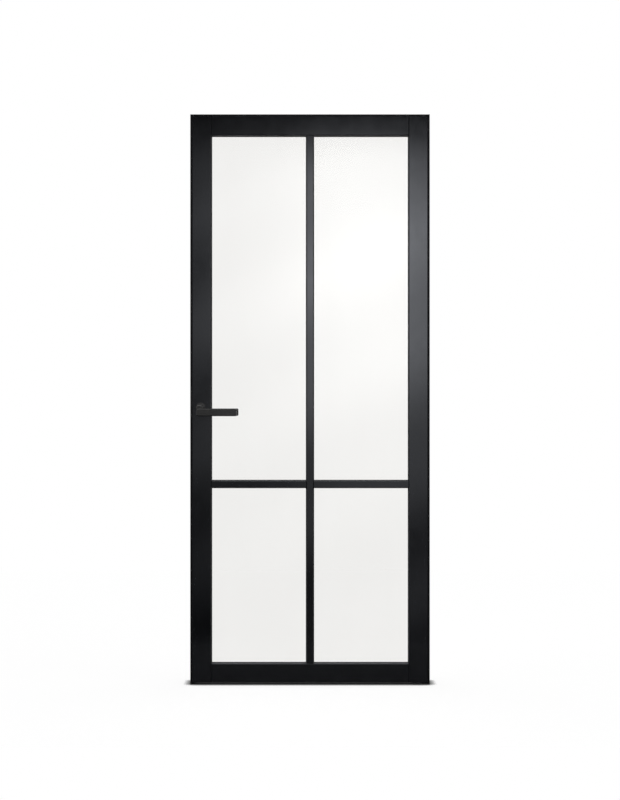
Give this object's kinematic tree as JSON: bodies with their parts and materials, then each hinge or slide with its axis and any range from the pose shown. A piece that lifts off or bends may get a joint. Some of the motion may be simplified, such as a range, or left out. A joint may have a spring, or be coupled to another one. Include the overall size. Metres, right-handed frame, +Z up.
{
  "type": "interior door",
  "caption": "Black glazed interior door with slim bars and lever handles, hung on pivots in a thin steel plate frame, with a sprung latch.",
  "frame": {"origin": "on the floor, in the middle of the door's width and of the leaf's thickness", "axes": "+X from the lock side to the pivot side, +Y from the front to the back, +Z up"},
  "size_m": [0.894, 0.15, 2.129],
  "materials": {
    "black_lacquer": "satin black lacquer on timber",
    "black_steel": "satin black powder coat",
    "black_hardware": "fine matt black coat",
    "black_screws": "black oxide",
    "black_rubber": "matt",
    "clear_glass": "clear, polished",
    "lock_steel": "zinc plated",
    "bearing_polymer": "turned black acetal",
    "beech": "raw"
  },
  "bodies": {
    "frame": {"frame_jamb_lock": "black_steel", "frame_jamb_pivot": "black_steel", "frame_head": "black_steel", "stop_lock": "black_steel", "stop_pivot": "black_steel", "stop_head": "black_steel", "stop_screws": "black_screws", "seal_lock": "black_rubber", "seal_head": "black_rubber", "corner_brackets": "black_steel", "bracket_screws": "black_screws", "strike_plate": "black_hardware", "strike_screws": "black_screws", "head_bush": "bearing_polymer", "floor_plate": "black_steel", "floor_pin": "lock_steel", "thrust_washer": "bearing_polymer"},
    "leaf": {"stile_lock": "black_lacquer", "stile_pivot": "black_lacquer", "rail_top": "black_lacquer", "rail_bottom": "black_lacquer", "bar_upright": "black_lacquer", "bar_cross_left": "black_lacquer", "bar_cross_right": "black_lacquer", "corner_dowels": "beech", "bar_dowels": "beech", "bead_screws": "black_screws", "pivot_housing": "lock_steel", "pivot_pin": "lock_steel", "pivot_bush": "bearing_polymer", "lock_case": "lock_steel", "lock_cover": "lock_steel", "cover_screws": "lock_steel", "lock_forend": "black_hardware", "forend_screws": "black_screws", "return_spring": "lock_steel", "latch_spring": "lock_steel", "rose_base_front": "lock_steel", "rose_base_back": "lock_steel", "rose_cap_front": "black_hardware", "rose_cap_back": "black_hardware", "rose_screws": "lock_steel", "glass_upper_left": "clear_glass", "gasket_upper_left": "black_rubber", "beads_upper_left": "black_lacquer", "glass_upper_right": "clear_glass", "gasket_upper_right": "black_rubber", "beads_upper_right": "black_lacquer", "glass_lower_left": "clear_glass", "gasket_lower_left": "black_rubber", "beads_lower_left": "black_lacquer", "glass_lower_right": "clear_glass", "gasket_lower_right": "black_rubber", "beads_lower_right": "black_lacquer"},
    "lever_set": {"lever_front": "black_hardware", "lever_back": "black_hardware", "spindle": "lock_steel", "follower": "lock_steel", "grub_screws": "black_screws"},
    "latch": {"latch_bolt": "black_hardware"}
  },
  "joints": [
    {"name": "leaf_swing", "type": "hinge", "parent": "frame", "child": "leaf", "pos_m": [0.4255, -0.0098, 0], "axis": [0, 0, 1], "range_deg": [0, 105]},
    {"name": "lever_turn", "type": "hinge", "parent": "leaf", "child": "lever_set", "pos_m": [-0.4085, 0, 1.0345], "axis": [0, 1, 0], "range_deg": [0, 35], "stiffness_Nm_per_rad": 1.2, "springref_deg": -51.57, "deforming": ["return_spring"]},
    {"name": "latch_slide", "type": "slide", "parent": "leaf", "child": "latch", "axis": [1, 0, 0], "range_m": [0, 0.007], "deforming": ["latch_spring"]}
  ],
  "couplings": [
    {"joint": "latch_slide", "follows": "lever_turn", "m_per_rad": 0.011459}
  ]
}
